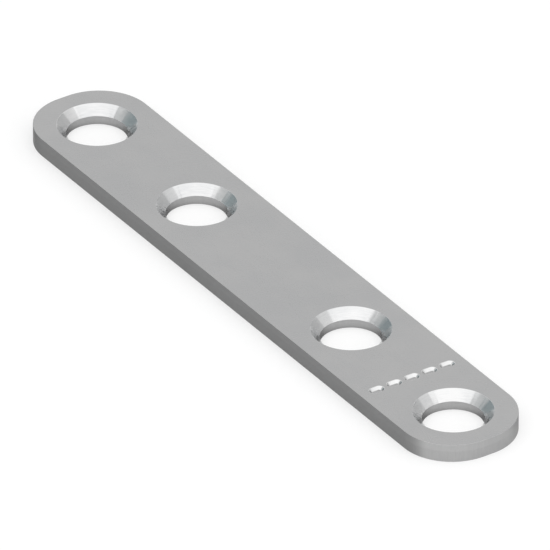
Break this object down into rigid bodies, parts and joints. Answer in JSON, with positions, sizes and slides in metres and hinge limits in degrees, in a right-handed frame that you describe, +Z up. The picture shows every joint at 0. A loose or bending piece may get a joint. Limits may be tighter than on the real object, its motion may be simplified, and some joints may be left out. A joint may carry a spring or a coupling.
{
  "type": "mending plate",
  "caption": "Straight flat steel plate with rounded ends and a row of countersunk screw holes, for joining or mending timber.",
  "frame": {"origin": "middle of the underside, the flat face that lies on the work", "axes": "+X along the plate, through the four screw holes; +Y across its width; +Z up through its thickness, out of the countersinks"},
  "size_m": [0.0984, 0.016, 0.0025],
  "materials": {
    "zinc_steel": "bright zinc plate on rolled steel strip, satin, with brighter cut countersinks and sheared edges"
  },
  "bodies": {
    "root": {"mending_plate": "zinc_steel"}
  },
  "joints": []
}
